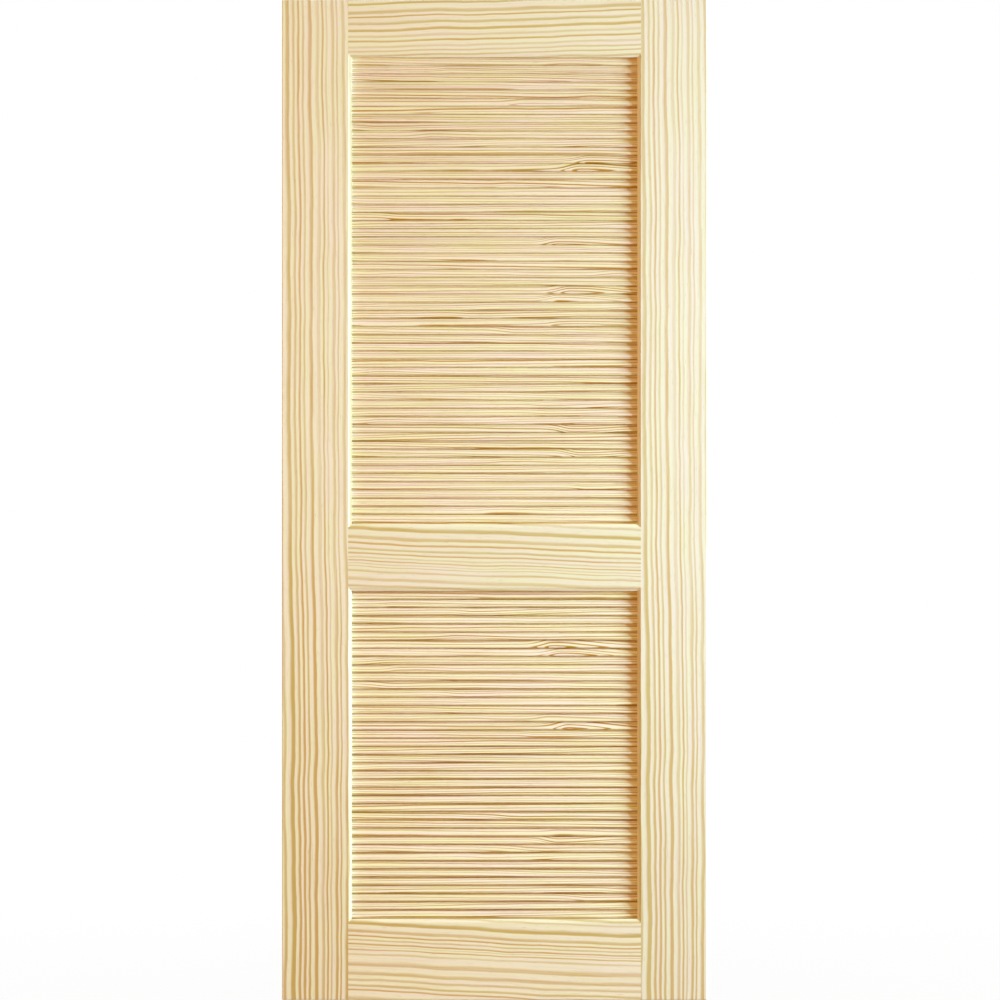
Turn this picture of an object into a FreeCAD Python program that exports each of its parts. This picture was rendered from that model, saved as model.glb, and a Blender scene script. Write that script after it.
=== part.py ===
import FreeCAD, Part
import math
import os

# Fixed-louver pine door: two stiles, three rails, two panels of slats, and the dowels that pin the joints.
# X runs across the door, the front face looks towards -Y, Z runs up from the bottom edge.
# All sizes are in millimetres and all angles in degrees.

# The slab
DOOR_WIDTH = 863.6
DOOR_HEIGHT = 2032.0
DOOR_THICKNESS = 34.9
EDGE_CHAMFER = 1.3

# Frame boards. Each width includes the bevel moulded on the edges that face a panel.
STILE_WIDTH = 141.4
TOP_RAIL_WIDTH = 116.0
LOCK_RAIL_WIDTH = 136.2
BOTTOM_RAIL_WIDTH = 164.3
LOCK_RAIL_CENTRE_HEIGHT = 899.15
BEVEL_WIDTH = 7.0
BEVEL_DEPTH = 3.3

# Slats. Each slopes up from its lip at the front, and its ends sit in housings routed in the stiles.
# They are spaced evenly from the first lip under the rail above to the last lip over the rail below. The sill
# slat comes after the count and is let into the rail below, so that no light shows under the last whole slat.
UPPER_SLAT_COUNT = 57
LOWER_SLAT_COUNT = 40
SLAT_WIDTH = 28.6
SLAT_THICKNESS = 6.0
SLAT_CHAMFER = 1.8
SLAT_SLOPE = 60.0
UPPER_FIRST_LIP_BELOW_RAIL = 16.0
UPPER_LAST_LIP_ABOVE_RAIL = 3.2
LOWER_FIRST_LIP_BELOW_RAIL = 16.9
LOWER_LAST_LIP_ABOVE_RAIL = 2.0
SILL_LIP_IN_RAIL = 21.0
HOUSING_DEPTH = 9.5
HOUSING_SIDE_CLEARANCE = 0.15
HOUSING_END_CLEARANCE = 0.5
SLATS_PER_NODE = 2

# Fluted dowels, half in the stile and half in the end of the rail
DOWEL_DIAMETER = 12.7
DOWEL_LENGTH = 101.6
DOWEL_FLUTES = 12
FLUTE_DEPTH = 0.6
DOWEL_SIDE_CLEARANCE = 0.05
DOWEL_END_CLEARANCE = 2.0
DOWELS_PER_JOINT = 2

# Places that follow from the sizes above
HALF_THICKNESS = DOOR_THICKNESS / 2
HALF_FLAT = HALF_THICKNESS - BEVEL_DEPTH
HALF_OPENING = DOOR_WIDTH / 2 - STILE_WIDTH
HALF_SHOULDER = HALF_OPENING + BEVEL_WIDTH
TOP_RAIL_BOTTOM = DOOR_HEIGHT - TOP_RAIL_WIDTH
LOCK_RAIL_TOP = LOCK_RAIL_CENTRE_HEIGHT + LOCK_RAIL_WIDTH / 2
LOCK_RAIL_BOTTOM = LOCK_RAIL_CENTRE_HEIGHT - LOCK_RAIL_WIDTH / 2
ACROSS_DOOR = FreeCAD.Vector(1, 0, 0)


def prism(points, along):
    """A straight solid with the given outline, swept along a vector."""
    outline = Part.makePolygon(points + points[:1])
    return Part.Face(outline).extrude(along)


def slat_outline(clearance):
    """The section of a slat with its eased edges, centred on the origin and grown by a clearance."""
    half_width = SLAT_WIDTH / 2 + clearance
    half_thickness = SLAT_THICKNESS / 2 + clearance
    face = half_width - SLAT_CHAMFER
    edge = half_thickness - SLAT_CHAMFER
    flat = [
        FreeCAD.Vector(0, -half_width, -edge),
        FreeCAD.Vector(0, -face, -half_thickness),
        FreeCAD.Vector(0, face, -half_thickness),
        FreeCAD.Vector(0, half_width, -edge),
        FreeCAD.Vector(0, half_width, edge),
        FreeCAD.Vector(0, face, half_thickness),
        FreeCAD.Vector(0, -face, half_thickness),
        FreeCAD.Vector(0, -half_width, edge),
    ]
    slope = FreeCAD.Rotation(ACROSS_DOOR, SLAT_SLOPE)
    return [slope.multVec(point) for point in flat]


def slat_bar(half_length, clearance):
    """A sloping bar along X with the section of a slat."""
    bar = prism(slat_outline(clearance), ACROSS_DOOR * (2 * half_length))
    return bar.translated(ACROSS_DOOR * -half_length)


def slat_heights(first_lip, last_lip, sill_lip, count):
    """Heights of the slat centres in one panel, from the top slat down to the sill slat."""
    lip_to_centre = max(point.z for point in slat_outline(0))
    spacing = (first_lip - last_lip) / (count - 1)
    lips = [first_lip - spacing * number for number in range(count)]
    return [lip + lip_to_centre for lip in lips + [sill_lip]]


def dowel_places(rail_bottom, rail_top):
    """Centres of one rail's dowels, spread evenly over the joint lines at both ends of the rail."""
    step = (rail_top - rail_bottom) / DOWELS_PER_JOINT
    heights = [rail_bottom + step / 2 + step * number for number in range(DOWELS_PER_JOINT)]
    return [FreeCAD.Vector(end, 0, z) for end in (-HALF_OPENING, HALF_OPENING) for z in heights]


def dowel(centre):
    """One straight-fluted dowel along X."""
    start = centre - ACROSS_DOOR * (DOWEL_LENGTH / 2)
    section = []
    for corner_number in range(2 * DOWEL_FLUTES):
        angle = math.pi * corner_number / DOWEL_FLUTES
        radius = DOWEL_DIAMETER / 2 - FLUTE_DEPTH * (corner_number % 2)
        section.append(start + FreeCAD.Vector(0, radius * math.cos(angle), radius * math.sin(angle)))
    return prism(section, ACROSS_DOOR * DOWEL_LENGTH)


def dowel_bore(centre):
    """The round hole for a dowel, reaching into the stile and the rail."""
    length = DOWEL_LENGTH + 2 * DOWEL_END_CLEARANCE
    start = centre - ACROSS_DOOR * (length / 2)
    return Part.makeCylinder(DOWEL_DIAMETER / 2 + DOWEL_SIDE_CLEARANCE, length, start, ACROSS_DOOR)


def stile(side, cuts):
    """A stile: side is -1 for the left one and 1 for the right one."""
    outline = [
        FreeCAD.Vector(side * DOOR_WIDTH / 2, -HALF_THICKNESS, 0),
        FreeCAD.Vector(side * HALF_SHOULDER, -HALF_THICKNESS, 0),
        FreeCAD.Vector(side * HALF_OPENING, -HALF_FLAT, 0),
        FreeCAD.Vector(side * HALF_OPENING, HALF_FLAT, 0),
        FreeCAD.Vector(side * HALF_SHOULDER, HALF_THICKNESS, 0),
        FreeCAD.Vector(side * DOOR_WIDTH / 2, HALF_THICKNESS, 0),
    ]
    board = prism(outline, FreeCAD.Vector(0, 0, DOOR_HEIGHT)).common(slab)
    return board.cut(cuts).Solids[0]


def edge_bevels(edge, inward):
    """The two wedges planed off a rail's edge; inward is 1 for a lower edge and -1 for an upper one."""
    wedges = []
    for face in (-1, 1):
        corner = [
            FreeCAD.Vector(-HALF_SHOULDER, face * HALF_THICKNESS, edge),
            FreeCAD.Vector(-HALF_SHOULDER, face * HALF_FLAT, edge),
            FreeCAD.Vector(-HALF_SHOULDER, face * HALF_THICKNESS, edge + inward * BEVEL_WIDTH),
        ]
        wedges.append(prism(corner, ACROSS_DOOR * (2 * HALF_SHOULDER)))
    return wedges


def rail(bottom, top, bevels, cuts):
    """A rail with bevelled edges, its ends coped to fit over the stile bevels."""
    plan = [
        FreeCAD.Vector(-HALF_SHOULDER, -HALF_THICKNESS, bottom),
        FreeCAD.Vector(HALF_SHOULDER, -HALF_THICKNESS, bottom),
        FreeCAD.Vector(HALF_OPENING, -HALF_FLAT, bottom),
        FreeCAD.Vector(HALF_OPENING, HALF_FLAT, bottom),
        FreeCAD.Vector(HALF_SHOULDER, HALF_THICKNESS, bottom),
        FreeCAD.Vector(-HALF_SHOULDER, HALF_THICKNESS, bottom),
        FreeCAD.Vector(-HALF_OPENING, HALF_FLAT, bottom),
        FreeCAD.Vector(-HALF_OPENING, -HALF_FLAT, bottom),
    ]
    board = prism(plan, FreeCAD.Vector(0, 0, top - bottom)).common(slab)
    return board.cut(bevels + cuts).Solids[0]


def save(name, solids):
    """Writes one node."""
    shape = solids[0] if len(solids) == 1 else Part.makeCompound(solids)
    shape.exportStep("parts/" + name + ".step")


os.makedirs("parts", exist_ok=True)

# The slab is sanded as one piece after glue-up, so the eased outer edge runs on across the joints.
corner = FreeCAD.Vector(-DOOR_WIDTH / 2, -HALF_THICKNESS, 0)
slab = Part.makeBox(DOOR_WIDTH, DOOR_THICKNESS, DOOR_HEIGHT, corner)
slab = slab.makeChamfer(EDGE_CHAMFER, slab.Edges)

# Slats, one panel at a time
upper_first_lip = TOP_RAIL_BOTTOM - UPPER_FIRST_LIP_BELOW_RAIL
upper_last_lip = LOCK_RAIL_TOP + UPPER_LAST_LIP_ABOVE_RAIL
upper_sill_lip = LOCK_RAIL_TOP - SILL_LIP_IN_RAIL
lower_first_lip = LOCK_RAIL_BOTTOM - LOWER_FIRST_LIP_BELOW_RAIL
lower_last_lip = BOTTOM_RAIL_WIDTH + LOWER_LAST_LIP_ABOVE_RAIL
lower_sill_lip = BOTTOM_RAIL_WIDTH - SILL_LIP_IN_RAIL
panels = {
    "upper": slat_heights(upper_first_lip, upper_last_lip, upper_sill_lip, UPPER_SLAT_COUNT),
    "lower": slat_heights(lower_first_lip, lower_last_lip, lower_sill_lip, LOWER_SLAT_COUNT),
}
slat = slat_bar(HALF_OPENING + HOUSING_DEPTH - HOUSING_END_CLEARANCE, 0)
for panel, heights in panels.items():
    solids = [slat.translated(FreeCAD.Vector(0, 0, z)) for z in heights]
    save(panel + "_sill_slat", [solids.pop()])
    for first in range(0, len(solids), SLATS_PER_NODE):
        group = solids[first:first + SLATS_PER_NODE]
        numbers = ["%02d" % (first + place + 1) for place in range(len(group))]
        save("_".join([panel, "slats"] + numbers), group)

# Housings for the slat ends. The same bar cuts the grooves in the rails, for the back edge of each panel's
# top slat and for the lip of its sill slat.
room = slat_bar(HALF_OPENING + HOUSING_DEPTH, HOUSING_SIDE_CLEARANCE)
housings = [room.translated(FreeCAD.Vector(0, 0, z)) for heights in panels.values() for z in heights]
groove = slat_bar(HALF_SHOULDER, HOUSING_SIDE_CLEARANCE)
ends = [z for heights in panels.values() for z in (heights[0], heights[-1])]
grooves = [groove.translated(FreeCAD.Vector(0, 0, z)) for z in ends]

# Dowels and the bores they are glued into
top_places = dowel_places(TOP_RAIL_BOTTOM, DOOR_HEIGHT)
lock_places = dowel_places(LOCK_RAIL_BOTTOM, LOCK_RAIL_TOP)
bottom_places = dowel_places(0, BOTTOM_RAIL_WIDTH)
save("top_rail_dowels", [dowel(centre) for centre in top_places])
save("lock_rail_dowels", [dowel(centre) for centre in lock_places])
save("bottom_rail_dowels", [dowel(centre) for centre in bottom_places])
bores = [dowel_bore(centre) for centre in top_places + lock_places + bottom_places]

# Frame boards
save("left_stile", [stile(-1, housings + bores)])
save("right_stile", [stile(1, housings + bores)])
top_rail_bevels = edge_bevels(TOP_RAIL_BOTTOM, 1)
lock_rail_bevels = edge_bevels(LOCK_RAIL_BOTTOM, 1) + edge_bevels(LOCK_RAIL_TOP, -1)
bottom_rail_bevels = edge_bevels(BOTTOM_RAIL_WIDTH, -1)
save("top_rail", [rail(TOP_RAIL_BOTTOM, DOOR_HEIGHT, top_rail_bevels, grooves + bores)])
save("lock_rail", [rail(LOCK_RAIL_BOTTOM, LOCK_RAIL_TOP, lock_rail_bevels, grooves + bores)])
save("bottom_rail", [rail(0, BOTTOM_RAIL_WIDTH, bottom_rail_bevels, grooves + bores)])
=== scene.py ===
import bmesh
import bpy
import math
import random
from mathutils import Matrix, Vector


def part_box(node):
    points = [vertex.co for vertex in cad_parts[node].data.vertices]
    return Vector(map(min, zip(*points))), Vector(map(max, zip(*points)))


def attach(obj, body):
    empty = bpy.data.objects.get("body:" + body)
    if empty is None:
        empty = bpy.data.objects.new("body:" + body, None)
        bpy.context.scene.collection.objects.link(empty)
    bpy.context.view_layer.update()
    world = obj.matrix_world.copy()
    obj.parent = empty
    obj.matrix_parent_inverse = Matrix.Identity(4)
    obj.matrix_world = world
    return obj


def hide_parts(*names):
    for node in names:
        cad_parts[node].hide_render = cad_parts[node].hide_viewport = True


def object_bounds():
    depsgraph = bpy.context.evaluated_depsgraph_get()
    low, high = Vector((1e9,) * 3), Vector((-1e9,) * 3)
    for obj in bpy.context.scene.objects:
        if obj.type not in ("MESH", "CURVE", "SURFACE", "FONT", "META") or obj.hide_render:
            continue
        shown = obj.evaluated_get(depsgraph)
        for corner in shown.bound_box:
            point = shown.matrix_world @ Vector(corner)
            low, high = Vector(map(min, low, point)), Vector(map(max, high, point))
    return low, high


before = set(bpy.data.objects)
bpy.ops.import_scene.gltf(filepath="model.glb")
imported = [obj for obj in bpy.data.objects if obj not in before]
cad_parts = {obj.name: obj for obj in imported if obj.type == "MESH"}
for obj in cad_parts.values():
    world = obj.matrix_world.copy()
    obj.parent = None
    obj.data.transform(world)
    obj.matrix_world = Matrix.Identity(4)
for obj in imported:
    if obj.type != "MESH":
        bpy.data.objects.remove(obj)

cad_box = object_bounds()

# Stiles: the two full-height boards of clear, plain-sawn pine at the sides of the door, cut one after
# the other from the same log, so that their stripes match. The inner edges are bevelled and housed for
# the slats, and the faces are planed and sanded, with no finish on them.
MM = 0.001

# Patterns in the wood: the size of a blotch across, through and along the grain, its detail and its
# roughness. Fibres and pores are drawn several times coarser than real ones, which are finer than a pixel.
WOOD_PATTERNS = {
    "sway": ((150 * MM, 150 * MM, 550 * MM), 1.0, 0.5),
    "ripple": ((80 * MM, 80 * MM, 140 * MM), 2.5, 0.5),
    "fibre": ((3 * MM, 3 * MM, 160 * MM), 3.0, 0.65),
    "tint": ((6 * MM, 6 * MM, 200 * MM), 2.0, 0.5),
    "pores": ((0.9 * MM, 0.9 * MM, 22 * MM), 1.0, 0.5),
}
TINT_RANGE = (0.36, 0.64)
FIBRE_CONTRAST = 0.8
PORE_COLOUR = "A8763A"
PORE_RANGE = (0.66, 0.76)
PORE_DEPTH = 0.35

# Latewood in a year: levels at shares of the year before its end, between a fading start and a sharp end
YEAR_START = [(0.0, 0.3), (0.05, 0.0)]
LATEWOOD_RISE = [(0.68, 0.05), (0.52, 0.5), (0.40, 0.9), (0.22, 1.0), (0.08, 0.96)]
YEAR_END = [(1.0, 0.3)]
WEAKEST_YEAR = 0.46
YEAR_SPREAD = 0.6
BUTT_STRENGTH = 1.68
CROWN_STRENGTH = 0.85

# Cut ends drink in the light and look darker; they show where a face turns towards the grain
CUT_END_COLOUR = "C39A5E"
CUT_END_RANGE = (0.75, 0.95)
CUT_END_SHARE = 0.55

# Surface of dry, sanded wood: nearly matt, with the hard bands a little proud and polished
WOOD_IOR = 1.5
WOOD_SPECULAR = 0.12
SANDED_ROUGHNESS = 0.74
CUT_END_ROUGHNESS = 0.15
BAND_POLISH = 0.10
BAND_HEIGHT = 0.6
FIBRE_HEIGHT = 0.8
BUMP_STRENGTH = 0.25
BUMP_DEPTH = 0.12 * MM


def linear(code):
    """An sRGB hex colour as linear red, green, blue and alpha."""
    parts = [int(code[place:place + 2], 16) / 255 for place in (0, 2, 4)]
    return [part / 12.92 if part <= 0.04045 else ((part + 0.055) / 1.055) ** 2.4 for part in parts] + [1]


def new_material(name):
    """A material with an empty node tree."""
    material = bpy.data.materials.new(name)
    material.use_nodes = True
    material.node_tree.nodes.clear()
    return material


def add(tree, kind, inputs=None, output=0, stops=None, **settings):
    """Adds a node with its settings and ramp stops, fills or links its inputs by name or number, and
    gives one of its outputs, or all of them for None. A Mix has its colours at 6, 7 and output 2."""
    node = tree.nodes.new("ShaderNode" + kind)
    for key, value in settings.items():
        setattr(node, key, value)
    for key, value in (inputs or {}).items():
        if isinstance(value, bpy.types.NodeSocket):
            tree.links.new(value, node.inputs[key])
        else:
            node.inputs[key].default_value = value
    for number, (place, level) in enumerate(stops or []):
        spots = node.color_ramp.elements
        spot = spots[number] if number < 2 else spots.new(place)
        spot.position = place
        spot.color = (level, level, level, 1)
    return node.outputs if output is None else node.outputs[output]


def sawn_wood(name, early, late, rings, sway, ripple, share=1.0, heart=(0, 0, 0), turn=(0, 0, 0),
              grain=(0, 0, 1), butt=None, marks=None):
    """Bare sanded wood cut from a log: year rings round a heart line, with z along the grain, in metres.

    heart and turn bring the piece to its place in the log, and grain is the grain's direction on the
    piece. rings are the widths of the years in millimetres, from the heart outwards, and start over when
    they run out. Each year is pale earlywood that darkens to a band of latewood and then ends sharply;
    share narrows that band. The eye sees satin stripes of uneven width and hue, with fine pores drawn out
    along the grain. Towards the butt of the log, given as two heights, the bands grow stronger. With
    marks, the wood has knots and a painted shade, a warm, yellower tint on the overlap under the next
    slat's lip, and reads them from the piece's own attributes: log, the place in the log, and knot, which
    holds the distance from a knot, its push and the overlap's depth."""
    material = new_material(name)
    tree = material.node_tree
    surface = add(tree, "TexCoord", output=None)
    if marks:
        log = add(tree, "Attribute", output="Vector", attribute_name="log")
    else:
        log = add(tree, "Mapping", {0: surface["Object"], 1: heart, 2: turn})
    patterns = {}
    for pattern, (size, detail, roughness) in WOOD_PATTERNS.items():
        scaled = add(tree, "VectorMath", {0: log, 1: [1 / length for length in size]}, operation="MULTIPLY")
        inputs = {"Vector": scaled, "Scale": 1.0, "Detail": detail, "Roughness": roughness}
        patterns[pattern] = add(tree, "TexNoise", inputs)

    # Distance from the heart, moved by the slow sway of the trunk, a small ripple and the swirl of a knot
    flat = add(tree, "VectorMath", {0: log, 1: (1, 1, 0)}, operation="MULTIPLY")
    radius = add(tree, "VectorMath", {0: flat}, output="Value", operation="LENGTH")
    slow = add(tree, "Math", {0: patterns["sway"], 1: 2 * sway, 2: -sway}, operation="MULTIPLY_ADD")
    bend = add(tree, "Math", {0: patterns["ripple"], 1: 2 * ripple, 2: -ripple}, operation="MULTIPLY_ADD")
    swayed = add(tree, "Math", {0: radius, 1: slow}, operation="ADD")
    reach = add(tree, "Math", {0: swayed, 1: bend}, operation="ADD")
    if marks:
        knot = add(tree, "Attribute", output="Vector", attribute_name="knot")
        from_knot, push, overlap = add(tree, "SeparateXYZ", {0: knot}, output=None)
        steep = add(tree, "Math", {0: from_knot, 1: -1.0}, operation="MULTIPLY")
        tail = add(tree, "Math", {0: from_knot, 1: marks["knot_tail"]}, operation="MULTIPLY")
        gap = add(tree, "Math", {0: steep, 1: tail}, operation="MAXIMUM")
        square = add(tree, "Math", {0: gap, 1: gap}, operation="MULTIPLY")
        falling = add(tree, "Math", {0: square, 1: -1.0}, operation="MULTIPLY")
        near = add(tree, "Math", {0: falling}, operation="EXPONENT")
        reach = add(tree, "Math", {0: near, 1: push, 2: reach}, operation="MULTIPLY_ADD")
        size_of_push = add(tree, "Math", {0: push}, operation="ABSOLUTE")
        swirl = add(tree, "Math", {0: near, 1: size_of_push}, operation="MULTIPLY")

    # Years: the ramp turns a share of the whole run of rings into a count of years
    total = sum(rings)
    starts = [(sum(rings[:year]) / total, year / len(rings)) for year in range(len(rings) + 1)]
    runs = add(tree, "Math", {0: reach, 1: total * MM}, operation="DIVIDE")
    whole_runs = add(tree, "Math", {0: runs}, operation="FLOOR")
    part_run = add(tree, "Math", {0: runs}, operation="FRACT")
    within = add(tree, "ValToRGB", {0: part_run}, stops=starts)
    run_count = add(tree, "Math", {0: whole_runs, 1: within}, operation="ADD")
    years = add(tree, "Math", {0: run_count, 1: len(rings)}, operation="MULTIPLY")
    year = add(tree, "Math", {0: years}, operation="FLOOR")
    chance = add(tree, "TexWhiteNoise", {"W": year}, output="Color", noise_dimensions="1D")
    chances = add(tree, "SeparateColor", {0: chance}, output=None)

    # Latewood: a slow rise, a full band and a sharp end, stronger in some years than in others
    rise = [(1 - before * share, level) for before, level in LATEWOOD_RISE]
    in_year = add(tree, "Math", {0: years}, operation="FRACT")
    profile = add(tree, "ValToRGB", {0: in_year}, stops=YEAR_START + rise + YEAR_END)
    inputs = {0: chances["Red"], 1: YEAR_SPREAD, 2: WEAKEST_YEAR}
    strength = add(tree, "Math", inputs, operation="MULTIPLY_ADD")
    if butt is not None:
        along = add(tree, "SeparateXYZ", {0: log}, output="Z")
        inputs = {0: along, 1: butt[0], 2: butt[1], 3: BUTT_STRENGTH, 4: CROWN_STRENGTH}
        strength = add(tree, "Math", {0: strength, 1: add(tree, "MapRange", inputs)}, operation="MULTIPLY")
    if marks:
        darker = add(tree, "Math", {0: swirl, 1: marks["knot_darkening"], 2: 1.0}, operation="MULTIPLY_ADD")
        strength = add(tree, "Math", {0: strength, 1: darker}, operation="MULTIPLY")
    full = add(tree, "Math", {0: profile, 1: strength}, operation="MULTIPLY")
    streak = add(tree, "Math", {0: patterns["fibre"], 1: 0.5}, operation="SUBTRACT")
    band = add(tree, "Math", {0: streak, 1: FIBRE_CONTRAST, 2: full}, operation="MULTIPLY_ADD")

    # Colour, with the pores, the painted shade under the next slat's lip and the darker cut ends
    tint = add(tree, "MapRange", {0: patterns["tint"], 1: TINT_RANGE[0], 2: TINT_RANGE[1]})
    inputs = {0: tint, 6: linear(early[0]), 7: linear(early[1])}
    pale = add(tree, "Mix", inputs, output=2, data_type="RGBA")
    inputs = {0: chances["Blue"], 6: linear(late[0]), 7: linear(late[1])}
    dark = add(tree, "Mix", inputs, output=2, data_type="RGBA")
    wood = add(tree, "Mix", {0: band, 6: pale, 7: dark}, output=2, data_type="RGBA")
    inputs = {0: patterns["pores"], 1: PORE_RANGE[0], 2: PORE_RANGE[1], 4: PORE_DEPTH}
    inputs = {0: add(tree, "MapRange", inputs), 6: wood, 7: linear(PORE_COLOUR)}
    wood = add(tree, "Mix", inputs, output=2, data_type="RGBA")
    if marks:
        # Painted shade: the part overlapped by the next slat, under its lip, is tinted warmer and yellower
        painted_shade_share = add(tree, "MapRange", {0: overlap, 1: marks["overlap"][0], 2: marks["overlap"][1]})
        inputs = {0: painted_shade_share, 6: wood, 7: linear(marks["under_lip_shade_tint"])}
        wood = add(tree, "Mix", inputs, output=2, data_type="RGBA", blend_type="MULTIPLY")
    inputs = {0: surface["Normal"], 1: grain}
    facing = add(tree, "VectorMath", inputs, output="Value", operation="DOT_PRODUCT")
    facing = add(tree, "Math", {0: facing}, operation="ABSOLUTE")
    cut_end = add(tree, "MapRange", {0: facing, 1: CUT_END_RANGE[0], 2: CUT_END_RANGE[1]})
    cut_share = add(tree, "Math", {0: cut_end, 1: CUT_END_SHARE}, operation="MULTIPLY")
    inputs = {0: cut_share, 6: wood, 7: linear(CUT_END_COLOUR)}
    wood = add(tree, "Mix", inputs, output=2, data_type="RGBA")

    # Surface: the hard bands stand a little proud and polish up, the cut ends stay rough
    ridges = add(tree, "Math", {0: patterns["fibre"], 1: FIBRE_HEIGHT}, operation="MULTIPLY")
    height = add(tree, "Math", {0: band, 1: BAND_HEIGHT, 2: ridges}, operation="MULTIPLY_ADD")
    bump = add(tree, "Bump", {"Height": height, "Strength": BUMP_STRENGTH, "Distance": BUMP_DEPTH})
    inputs = {0: cut_end, 1: CUT_END_ROUGHNESS, 2: SANDED_ROUGHNESS}
    sanded = add(tree, "Math", inputs, operation="MULTIPLY_ADD")
    rough = add(tree, "Math", {0: band, 1: -BAND_POLISH, 2: sanded}, operation="MULTIPLY_ADD")
    inputs = {"Base Color": wood, "Roughness": rough, "Normal": bump,
              "IOR": WOOD_IOR, "Specular IOR Level": WOOD_SPECULAR}
    add(tree, "OutputMaterial", {"Surface": add(tree, "BsdfPrincipled", inputs)}, output=None)
    return material


STILE_RINGS = (13.5, 18, 11, 9.5, 9, 15, 15, 8, 7.5, 13.5, 7, 14.5)
STILE_LEAN = math.radians(0.4)
STILE_BUTT = (0.3, 1.4)
STILES = {
    "left_stile": dict(early=("F5F0CA", "F8ECD6"), late=("CEB26A", "D5AC6E"), heart=(0.5733, 0.05, 0.3)),
    "right_stile": dict(early=("F5F0D0", "F7ECDA"), late=("D7C080", "DDB880"), heart=(-0.1489, 0.05, 0.3)),
}
for node, cut in STILES.items():
    material = sawn_wood(node + "_sanded_pine", rings=STILE_RINGS, sway=6 * MM, ripple=5 * MM, share=0.85,
                         turn=(0, STILE_LEAN, 0), butt=STILE_BUTT, **cut)
    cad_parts[node].material_slots[0].material = material

# Rails: the three cross boards of the same pine, coped over the stile bevels and pinned to the stiles
# with dowels. Their grain runs across the door, and slopes a little, by a tilt in degrees, where the saw
# didn't follow the trunk.
RAILS = {
    "top_rail": dict(early=("F4EEC8", "F6E8D2"), late=("CCB866", "D4B066"), heart=(2.184, 0.04, 0.8),
                     tilt=1.6, rings=(12, 9, 9, 11, 18, 7, 14, 14, 12, 10)),
    "lock_rail": dict(early=("F3EEC8", "F5E8D2"), late=("D0B66C", "D8B06E"), heart=(1.105, 0.05, 2.1),
                      tilt=-2.1, rings=(12, 20, 18, 10, 12, 8, 8, 6, 6, 5, 10, 17)),
    "bottom_rail": dict(early=("FAF3CE", "FBEED8"), late=("CEB160", "D5A962"), heart=(0.308, 0.05, 3.3),
                        tilt=-2.5, rings=(20, 16, 8, 8, 8, 4, 6, 10, 22, 18, 12, 12, 8)),
}
for node, cut in RAILS.items():
    across = (0, -math.pi / 2 + math.radians(cut.pop("tilt")), 0)
    material = sawn_wood(node + "_sanded_pine", sway=5 * MM, ripple=5 * MM, share=0.75,
                         turn=across, grain=(1, 0, 0), **cut)
    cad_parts[node].material_slots[0].material = material

# Dowels: fluted beech pins, glued half in the stile and half in the end of each rail. They are hidden once
# the door is put together. Beech is a pinkish tan, with close, faint rings.
DOWEL_BEECH = sawn_wood("fluted_beech_dowel", ("E3C49B", "DDBB8E"), ("C79C6B", "BE9060"), (2, 1.5, 2.5),
                        sway=1 * MM, ripple=0.5 * MM, heart=(0.3, 0.08, 0), turn=(0, -math.pi / 2, 0),
                        grain=(1, 0, 0))
for node in ("top_rail_dowels", "lock_rail_dowels", "bottom_rail_dowels"):
    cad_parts[node].material_slots[0].material = DOWEL_BEECH

# Slats: thin pine strips with rounded lips, moulded by the length and cut to fit between the stiles. Each
# comes from its own place in a log, and its ends sit in the slanted housings of the stiles.
SLAT_WIDTH = 28.6 * MM
SLAT_THICKNESS = 6.0 * MM
SLAT_SLOPE = math.radians(60)
LIP_RADIUS = 2.4 * MM
LIP_STEPS = 5

# Pine with narrow, strongly coloured years, so that the eye sees fine ochre streaks on pale wood. A knot
# pushes the rings aside, steeply on one side and with a long tail on the other, and darkens them by a
# share for each metre of push. Past a depth into the overlap with the next slat, under its lip, a painted
# warm shade makes the wood a little yellower.
SLAT_KNOTS_AND_SHADE = dict(knot_tail=0.3, knot_darkening=0.09 / MM, overlap=(1 * MM, 6 * MM), under_lip_shade_tint="FFFFE5")
SLAT_PINE = sawn_wood("slat_sanded_pine", ("F6EDBE", "FAE8D5"), ("B58D26", "C38A34"),
                      (5, 4, 7, 3, 5, 8, 4, 6), sway=4 * MM, ripple=2 * MM, share=0.6,
                      grain=(1, 0, 0), marks=SLAT_KNOTS_AND_SHADE)

# Where in the log a slat was cut: the turn in degrees and the distance of the heart, the place along the
# log in metres, the lean of the grain, and the places of the knots that it passes, with their pushes in
# millimetres. Most slats pass none or a faint one, and those named below a full one.
HEART_TURN = 50
HEART_NEAREST, HEART_FARTHEST = 60 * MM, 200 * MM
LOG_LENGTH = 40
GRAIN_LEAN = 0.02
KNOT_REACH = 32 * MM
FAINT_KNOT_SPAN = 280 * MM
FAINT_KNOT_PUSHES = (0, 0, 0, -3, 3)
KNOT_SPAN = (120 * MM, 200 * MM)
KNOT_PUSHES = (-9, 9)
KNOT_SLATS = {"upper": (13, 14, 23, 29, 30, 46, 49), "lower": (7, 8, 17, 31)}


def to_piece(build, name, material):
    """Turns a finished bmesh into an object of one material, with its place in its mesh."""
    mesh = bpy.data.meshes.new(name)
    build.to_mesh(mesh)
    build.free()
    mesh.materials.append(material)
    piece = bpy.data.objects.new(name, mesh)
    bpy.context.scene.collection.objects.link(piece)
    return piece


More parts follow.
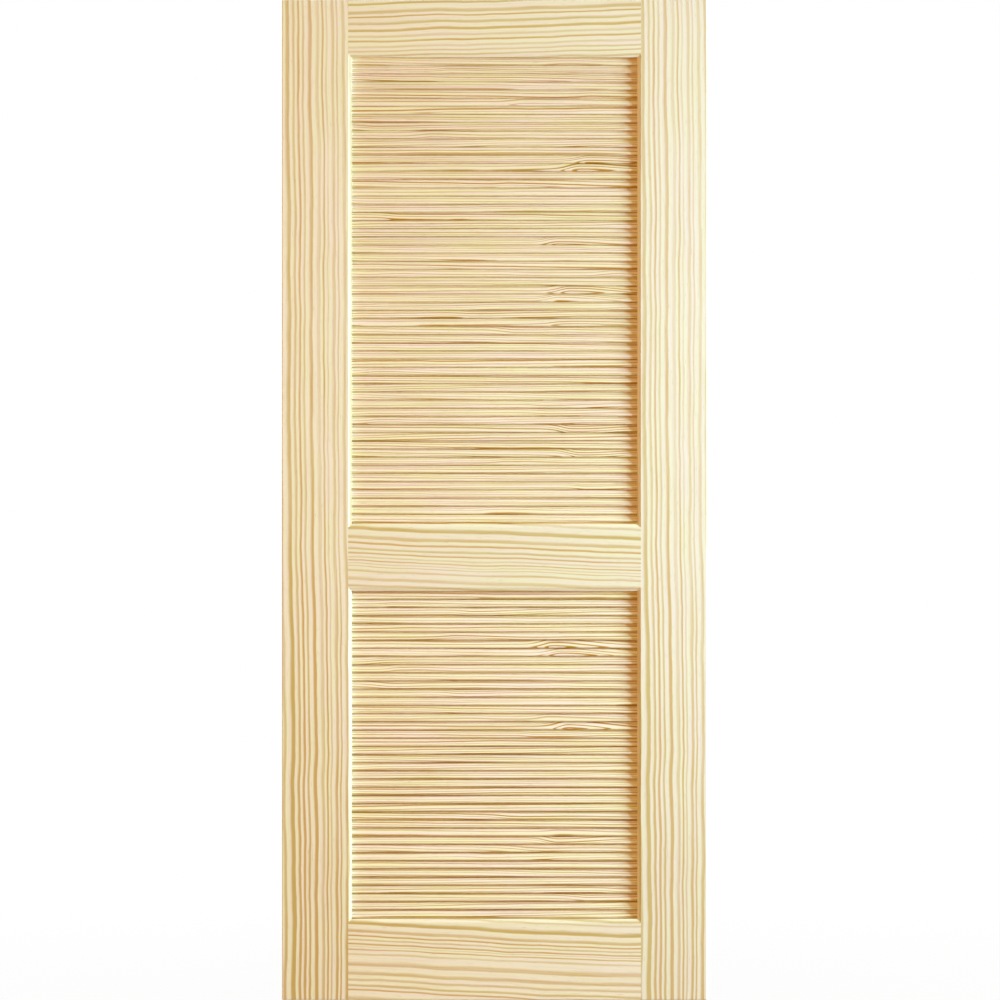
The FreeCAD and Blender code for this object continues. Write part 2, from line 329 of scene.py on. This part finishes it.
logs = random.Random(57)
sill_low, sill_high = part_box("upper_sill_slat")
half_rise = (sill_high.z - sill_low.z) / 2
for node in sorted(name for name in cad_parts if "slat" in name):
    # A node holds two slats, the higher one first, or a single one
    low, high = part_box(node)
    centres = [high.z - half_rise]
    if high.z - low.z > 2 * half_rise + MM:
        centres.append(low.z + half_rise)
    build = bmesh.new()
    log = build.verts.layers.float_vector.new("log")
    knot = build.verts.layers.float_vector.new("knot")
    for number, centre in enumerate(centres):
        made = bmesh.ops.create_cube(build, size=1)["verts"]
        bmesh.ops.scale(build, vec=(high.x - low.x, SLAT_WIDTH, SLAT_THICKNESS), verts=made)
        edges = {edge for vert in made for edge in vert.link_edges}
        long_edges = [edge for edge in edges if abs(edge.verts[0].co.x - edge.verts[1].co.x) > MM]
        rounded = bmesh.ops.bevel(build, geom=long_edges, offset=LIP_RADIUS, offset_type="OFFSET",
                                  affect="EDGES", segments=LIP_STEPS, profile=0.5, material=-1)
        for face in rounded["faces"]:
            face.smooth = True
        for edge in build.edges:
            edge.smooth = abs(edge.verts[0].co.x - edge.verts[1].co.x) > MM

        # The new slat's vertices have no place in the log yet
        new = [vert for vert in build.verts if vert[log].length == 0]
        angle = logs.choice((0, math.pi)) + math.radians(logs.uniform(-HEART_TURN, HEART_TURN))
        away = logs.uniform(HEART_NEAREST, HEART_FARTHEST)
        heart = Vector((math.cos(angle), math.sin(angle), 0)) * away
        start = logs.uniform(0, LOG_LENGTH)
        lean = logs.uniform(-GRAIN_LEAN, GRAIN_LEAN)
        knot_x = logs.uniform(-FAINT_KNOT_SPAN, FAINT_KNOT_SPAN)
        knot_push = logs.choice(FAINT_KNOT_PUSHES) * MM
        panel, kind, first = node.split("_")[:3]
        if kind == "slats" and int(first) + number in KNOT_SLATS[panel]:
            knot_x = logs.uniform(*KNOT_SPAN)
            knot_push = logs.choice(KNOT_PUSHES) * MM

        # The next slat hides the back part of the upper face and the front part of the under face; the
        # depth into that overlap sets the painted shade under its lip
        for vert in new:
            vert[log] = heart + Vector((vert.co.y + lean * vert.co.x, vert.co.z, vert.co.x + start))
            overlap = vert.co.y if vert.co.z > 0 else -vert.co.y
            vert[knot] = ((vert.co.x - knot_x) / KNOT_REACH, knot_push, overlap)
        bmesh.ops.rotate(build, cent=(0, 0, 0), matrix=Matrix.Rotation(SLAT_SLOPE, 3, "X"), verts=new)
        bmesh.ops.translate(build, vec=(0, 0, centre), verts=new)
    piece = to_piece(build, node + "_rounded", SLAT_PINE)
    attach(piece, "root")
    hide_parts(node)

# Floor: a wide floor in matt brown paint under the door, which throws a little warm light up at it.
# It shows white to the camera, but near the door it keeps a share of the shadow.
FLOOR_HALF = 12.0
FLOOR_SPECKLE = 25 * MM
FLOOR_BROWNS = ("A27B4A", "A67F4E")
SHADOW_SHARE = 0.03
SHADOW_REACH = 2.5
WHITE = (1, 1, 1, 1)


def seen_by_eye(tree):
    """1 for rays that show a surface to the eye, straight, mirrored or through glass, and 0 for light."""
    rays = add(tree, "LightPath", output=None)
    shown = add(tree, "Math", {0: rays["Is Camera Ray"], 1: rays["Is Glossy Ray"]}, operation="MAXIMUM")
    return add(tree, "Math", {0: shown, 1: rays["Is Transmission Ray"]}, operation="MAXIMUM")


# Matt paint scatters all light evenly, so the eye sees one brown with a faint speckle and no shine
floor_paint = new_material("matt_brown_floor_paint")
tree = floor_paint.node_tree
place = add(tree, "TexCoord", output="Object")
speckle = add(tree, "TexNoise", {"Vector": place, "Scale": 1 / FLOOR_SPECKLE})
inputs = {0: speckle, 6: linear(FLOOR_BROWNS[0]), 7: linear(FLOOR_BROWNS[1])}
paint = add(tree, "Mix", inputs, output=2, data_type="RGBA")
matt = add(tree, "BsdfDiffuse", {"Color": paint})
white = add(tree, "Emission", {"Color": WHITE, "Strength": 1.0})
away = add(tree, "VectorMath", {0: place}, output="Value", operation="LENGTH")
clear = add(tree, "MapRange", {0: away, 2: SHADOW_REACH, 3: 1 - SHADOW_SHARE})
share = add(tree, "Math", {0: seen_by_eye(tree), 1: clear}, operation="MULTIPLY")
shown = add(tree, "MixShader", {0: share, 1: matt, 2: white})
add(tree, "OutputMaterial", {"Surface": shown}, output=None)
build = bmesh.new()
bmesh.ops.create_grid(build, x_segments=1, y_segments=1, size=FLOOR_HALF)
to_piece(build, "floor", floor_paint)

# Light: a warm room, a soft, cool lamp on the right that rakes across the face, a weak, warm one on the
# left that fills the gaps between the slats, and one behind the door for its back. Together they light
# the front face at a plain, neutral level. Lamps are placed in metres and spread in degrees.
ROOM_LEVEL = 0.415
ROOM_COLOUR = (1.36, 1.0, 0.65)
LAMPS = {
    "raking_lamp": dict(place=(5.17, -1.88, 1.75), aim=(0, 0, 1.05), size=1.9, spread=70,
                        watts=89, colour=(0.6, 1.0, 1.3)),
    "warm_lamp": dict(place=(-3.0, -4.0, 1.6), aim=(0, 0, 1.0), size=2.0, spread=180,
                      watts=62, colour=(1.0, 0.47, 0.0)),
    "back_lamp": dict(place=(-2.5, 4.0, 0.9), aim=(0, 0, 1.0), size=2.4, spread=180,
                      watts=140, colour=(0.9, 1.0, 1.05)),
}
world = bpy.data.worlds.new("white_room")
bpy.context.scene.world = world
world.use_nodes = True
tree = world.node_tree
tree.nodes.clear()
room = [ROOM_LEVEL * part for part in ROOM_COLOUR] + [1]
colour = add(tree, "Mix", {0: seen_by_eye(tree), 6: room, 7: WHITE}, output=2, data_type="RGBA")
background = add(tree, "Background", {"Color": colour, "Strength": 1.0})
add(tree, "OutputWorld", {"Surface": background}, output=None)
for name, given in LAMPS.items():
    lamp = bpy.data.lights.new(name, "AREA")
    lamp.shape = "SQUARE"
    lamp.size = given["size"]
    lamp.spread = math.radians(given["spread"])
    lamp.energy = given["watts"]
    lamp.color = given["colour"]
    lamp_object = bpy.data.objects.new(name, lamp)
    lamp_object.location = given["place"]
    towards = Vector(given["aim"]) - Vector(given["place"])
    lamp_object.rotation_euler = towards.to_track_quat("-Z", "Y").to_euler()
    lamp_object.visible_camera = False
    bpy.context.scene.collection.objects.link(lamp_object)

# Scrim: a thin net on a stand, close beside the right edge of the door, as a photographer sets one. It
# holds back the raking lamp there, which the edge faces, so that the edge is as bright as the front.
# Only the lamps see it.
SCRIM_GAP = 1.5 * MM
SCRIM_SETBACK = 1.3 * MM
SCRIM_TINT = "BFA091"
low, high = cad_box

# A square of one metre, stood up and drawn out to the size of the edge
build = bmesh.new()
bmesh.ops.create_grid(build, x_segments=1, y_segments=1, size=0.5)
bmesh.ops.rotate(build, cent=(0, 0, 0), matrix=Matrix.Rotation(math.pi / 2, 3, "Y"), verts=build.verts)
bmesh.ops.scale(build, vec=(1, high.y - low.y - SCRIM_SETBACK, high.z - low.z), verts=build.verts)
middle = (high.x + SCRIM_GAP, (low.y + SCRIM_SETBACK + high.y) / 2, (low.z + high.z) / 2)
bmesh.ops.translate(build, vec=middle, verts=build.verts)

# Tan net lets through less than half of the light, and warms it
net = new_material("tan_scrim_net")
tree = net.node_tree
thin = add(tree, "BsdfTransparent", {"Color": linear(SCRIM_TINT)})
add(tree, "OutputMaterial", {"Surface": thin}, output=None)
scrim = to_piece(build, "scrim", net)
scrim.visible_camera = False
scrim.visible_diffuse = False
scrim.visible_glossy = False
scrim.visible_transmission = False

# Camera: a long lens square to the front face, level with the middle of the door, which fills the height
# of the frame and stands a little to the left in it.
LENS = 200.0
SENSOR = 36.0
CAMERA_SHIFT = 11.1 * MM
VIEW_END = 100
distance = (high.z - low.z) * LENS / SENSOR
view = bpy.data.cameras.new("camera")
view.lens = LENS
view.sensor_width = SENSOR
view.clip_end = VIEW_END
camera = bpy.data.objects.new("camera", view)
camera.location = (CAMERA_SHIFT, low.y - distance, (low.z + high.z) / 2)
camera.rotation_euler = (math.pi / 2, 0, 0)
bpy.context.scene.collection.objects.link(camera)
bpy.context.scene.camera = camera
bpy.context.scene.view_settings.view_transform = "Standard"
